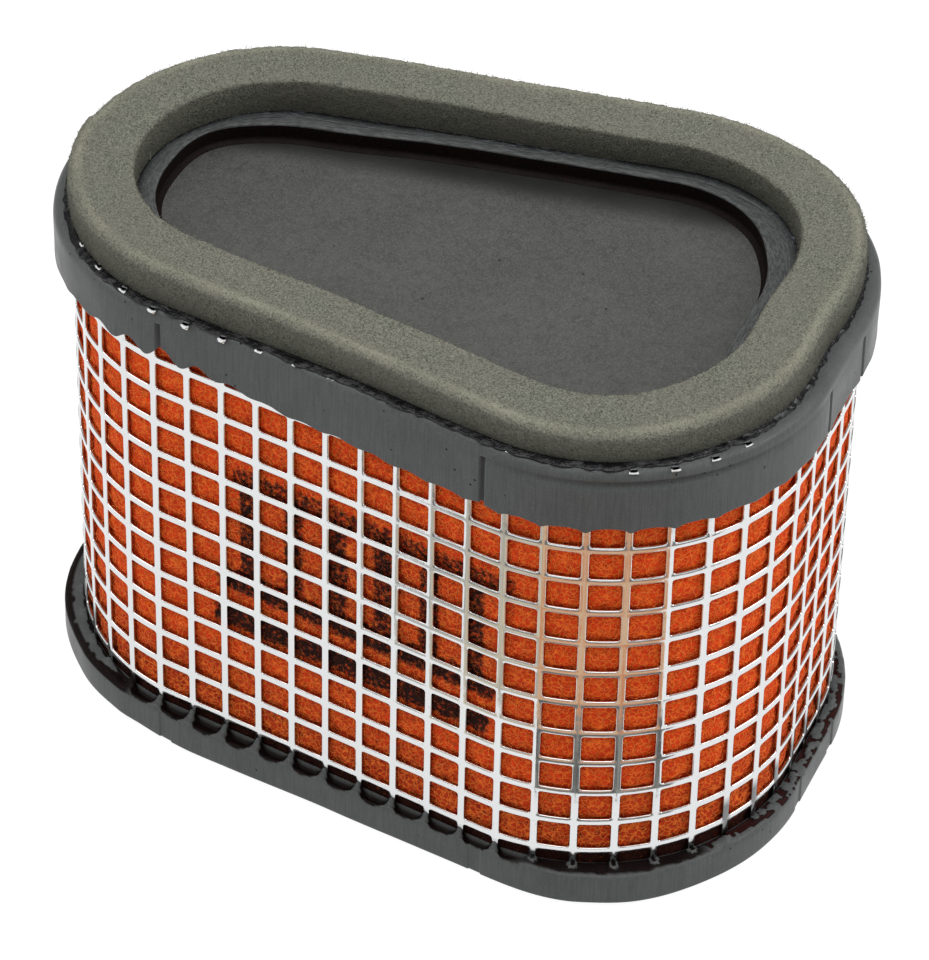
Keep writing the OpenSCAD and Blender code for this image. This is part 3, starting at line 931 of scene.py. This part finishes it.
def foam_fuzz(strip, count):
    """Cut struts of the foam's cells, standing out of its skin."""
    verts = strip.data.vertices
    co, normal = np.empty(len(verts) * 3, np.float32), np.empty(len(verts) * 3, np.float32)
    verts.foreach_get("co", co)
    strip.data.vertex_normals.foreach_get("vector", normal)
    co, normal = co.reshape(-1, 3) / MM, normal.reshape(-1, 3)
    seen = np.flatnonzero(co[:, 2] > FOAM_LOW[2] + 0.6)
    pick = rng.choice(seen, count)
    base = co[pick] + rng.normal(0, 0.15, (count, 3))
    # Struts on the foam's sides take painted shade.
    low = np.where(normal[pick, 2] < 0.7, 0.35, 0.0)
    lean = normal[pick] + rng.normal(0, 0.6, (count, 3))
    lean /= np.linalg.norm(lean, axis=1, keepdims=True)
    side = np.cross(lean, rng.normal(0, 1, (count, 3)))
    side /= np.linalg.norm(side, axis=1, keepdims=True)
    other = np.cross(lean, side)
    reach = rng.uniform(0.12, 0.3, (count, 1))
    thick = rng.uniform(0.03, 0.06, (count, 1))
    rings = [base + lean * reach * share + thick * width * (side * math.cos(a) + other * math.sin(a))
             for share, width in ((-0.3, 1.0), (1.0, 0.5)) for a in TRIANGLE]
    points = np.stack(rings, 1).reshape(-1, 3)
    faces = (grid_faces(2, 3, wrap_rows=False)[None] + 6 * np.arange(count)[:, None, None]).reshape(-1, 4)
    # Every strut takes a share of the painted highlight, so the fuzz reads pale.
    marks = {"worn": np.full(len(points), 0.35), "deep": np.repeat(low, 6)}
    mesh_piece("foam_surface_fuzz", points, faces, foam, marks=marks)


foam_fuzz(foam_strip, 26000)


def glue_piece():
    """A film under the foam that has run out along both feet."""
    out, inner, low, top = FOAM_OUT + 1.5, FOAM_IN - 1.5, GLUE_LOW[2] - 0.1, GLUE_HIGH[2]
    section = rounded([
        (out, low, 0.1, 1), (out, low + 0.25, 0.1, 0.4), (FOAM_OUT + 0.1, top + 0.3, 0.3, 0.3),
        (FOAM_OUT - 0.6, top, 0, 3), (FOAM_IN + 0.6, top, 0, 0.5), (FOAM_IN - 0.1, top + 0.2, 0.3, 0.3),
        (inner, low + 0.2, 0.1, 0.4), (inner, low, 0.1, 3)])
    s, o = np.meshgrid(np.linspace(0, GIRTH, 1100, endpoint=False), section[0], indexing="ij")
    z = np.broadcast_to(section[1], s.shape)
    side = np.where(o > FOAM_OUT - 3, 1.0, -1.0)
    rim = place(s, side * 10, 0 * z)
    spread = np.where(side > 0, 0.4 * noise(rim, 2.5, 18) + 0.25 * noise(rim, 1.1, 19),
                      0.5 * noise(rim, 9, 18))
    spread = spread - (side > 0) * (0.9 * near(s, 188, 24) + 1.1 * near(s, 10, 36))
    past = np.where(side > 0, np.clip(o - FOAM_OUT, 0, 1), np.clip(FOAM_IN - o, 0, 1))
    o2 = o + foam_shift(s, o) + side * past * spread
    o2 = np.where(side > 0, o2, np.maximum(o2, OUTLET_O + recess_shift(s) + 0.35))
    lumpy = np.where(side > 0, 0.14, 0.04) * (noise(place(s, o, z), 0.9, 20) + 0.3)
    z2 = z + past * lumpy * (z > low + 0.1)
    # Painted glints run all along the inner run-out, and outside mostly near the wide end.
    marks = {"painted_glint": np.where(side > 0, 0.1 + 0.7 * near(s, 8, 30), 1.0) * (past > 0),
             "thin": np.where(side > 0, 0.0, np.clip(FOAM_IN - o - 0.2, 0, 1)), "along": s, "across": o}
    mesh_piece("gasket_glue_bead", place(s, o2, z2).reshape(-1, 3), grid_faces(*s.shape), glue,
               ["gasket_adhesive"], marks)


glue_piece()

# CAD nodes that keep their own shape take a finish here.
for node, skin in {"closure_plate": paint, "media_seam_bead": glue, "foam_joint_glue": cement}.items():
    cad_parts[node].data.materials.clear()
    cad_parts[node].data.materials.append(skin)


# ---- stage, lights and camera
AZIMUTH, ELEVATION, ROLL = (math.radians(a) for a in (22.28, 39.75, 1.35))
DISTANCE = 0.9051
TARGET = Vector((0.006, -0.0084, 0.0527))
FLOOR_Z = -0.3 * MM  # just clear of the cap's underside
CARD_Z = 0.6 * MM


def aim(azimuth, elevation):
    """Direction from the object towards a light or the camera. Azimuth 0 is the -Y side."""
    level = math.cos(elevation)
    return Vector((math.sin(azimuth) * level, -math.cos(azimuth) * level, math.sin(elevation)))


def glow_material(name, colours, strength, albedo):
    """Matte stage material with some light of its own, in one colour or clouded with a second."""
    def glow(tree):
        cloud = ramp(tree, lumps(tree, 22, 3), (0.38, 0.0), (0.62, 1.0))
        return {"Emission Color": blend(tree, cloud, colours[0], colours[-1])}

    return material(name, glow, Base_Color=(albedo,) * 3, Roughness=0.9, Specular_IOR_Level=0.0,
                    Emission_Strength=strength)


def stage_mesh(name, points, faces, skin):
    """A plain mesh that belongs to the stage."""
    mesh = bpy.data.meshes.new(name)
    mesh.from_pydata(points, [], faces)
    mesh.materials.append(skin)
    made = bpy.data.objects.new(name, mesh)
    bpy.context.scene.collection.objects.link(made)
    return made


def card(name, start, end, near_z, far_z, *colours):
    """A tinted card on the floor, seen only as a reflection in the bright mesh. The mesh between
    distances start and end mirrors it, from height near_z to height far_z."""
    view = np.array(aim(AZIMUTH, 0))[:2]
    columns = 9
    s = np.linspace(start, end, columns)
    x, y, nx, ny = outline(s)
    dot = nx * view[0] + ny * view[1]
    seen = np.stack([2 * dot * nx - view[0], 2 * dot * ny - view[1]], -1)
    base = np.stack([x, y], -1)
    rows = [base + seen * z / math.tan(ELEVATION) for z in (near_z, far_z)]
    points = [(*(p * MM), CARD_Z) for row in rows for p in row]
    faces = [(k, k + 1, k + columns + 1, k + columns) for k in range(columns - 1)]
    made = stage_mesh(name, points, faces, glow_material(name, colours, 0.85, 0.05))
    made.visible_camera = made.visible_shadow = made.visible_diffuse = False


def softbox(name, azimuth, elevation, distance, size, power):
    """A square area light that faces the object."""
    back = aim(math.radians(azimuth), math.radians(elevation))
    lamp = bpy.data.lights.new(name, "AREA")
    lamp.shape, lamp.size, lamp.energy = "SQUARE", size, power
    light = bpy.data.objects.new(name, lamp)
    light.location = TARGET + back * distance
    light.rotation_mode = "QUATERNION"
    light.rotation_quaternion = (-back).to_track_quat("-Z", "Y")
    bpy.context.scene.collection.objects.link(light)


def world_light(strength):
    """An even white sky."""
    world = bpy.data.worlds.new("studio")
    bpy.context.scene.world = world
    world.use_nodes = True
    sky = world.node_tree.nodes["Background"]
    sky.inputs["Color"].default_value = (1, 1, 1, 1)
    sky.inputs["Strength"].default_value = strength


def camera():
    """Looks down on the wide end's front corner through a long lens."""
    back = aim(AZIMUTH, ELEVATION)
    right = Vector((math.cos(AZIMUTH), math.sin(AZIMUTH), 0))
    up = back.cross(right)
    x = right * math.cos(ROLL) + up * math.sin(ROLL)
    y = up * math.cos(ROLL) - right * math.sin(ROLL)
    data = bpy.data.cameras.new("camera")
    data.lens, data.sensor_width = 196.8, 36.0
    data.clip_start, data.clip_end = 0.05, 30
    cam = bpy.data.objects.new("camera", data)
    turned = Matrix((x, y, back)).transposed().to_4x4()
    cam.matrix_world = Matrix.Translation(TARGET + back * DISTANCE) @ turned
    bpy.context.scene.collection.objects.link(cam)
    bpy.context.scene.camera = cam


floor_skin = glow_material("pale_floor", [(1, 1, 1)], 0.92, 0.12)
corners = [(x, y, FLOOR_Z) for x, y in ((-6, -6), (6, -6), (6, 6), (-6, 6))]
stage_mesh("floor", corners, [(0, 1, 2, 3)], floor_skin)
card("beige_card", 298, 311, 36, 83, (0.82, 0.72, 0.5), (0.52, 0.48, 0.4))
card("peach_card", 311, 333, 36, 83, (0.84, 0.56, 0.33), (0.75, 0.27, 0.09))
card("side_card", 285, 298, 45, 83, (0.42, 0.42, 0.4), (0.75, 0.74, 0.7))
card("grey_card", 312, 336, 19, 36, (0.05, 0.05, 0.045), (0.3, 0.3, 0.27))
card("dark_card", 297, 342, 83, 120, (0.14, 0.12, 0.11))
softbox("back_top", 198, 78, 1.4, 1.2, 11)
softbox("key_left", -70, 42, 1.3, 0.8, 6)
softbox("front_soft", 15, 62, 1.4, 0.9, 6.8)
softbox("fill_right", 110, 40, 1.3, 0.7, 9.5)
world_light(0.27)
camera()
bpy.context.scene.view_settings.view_transform = "Standard"
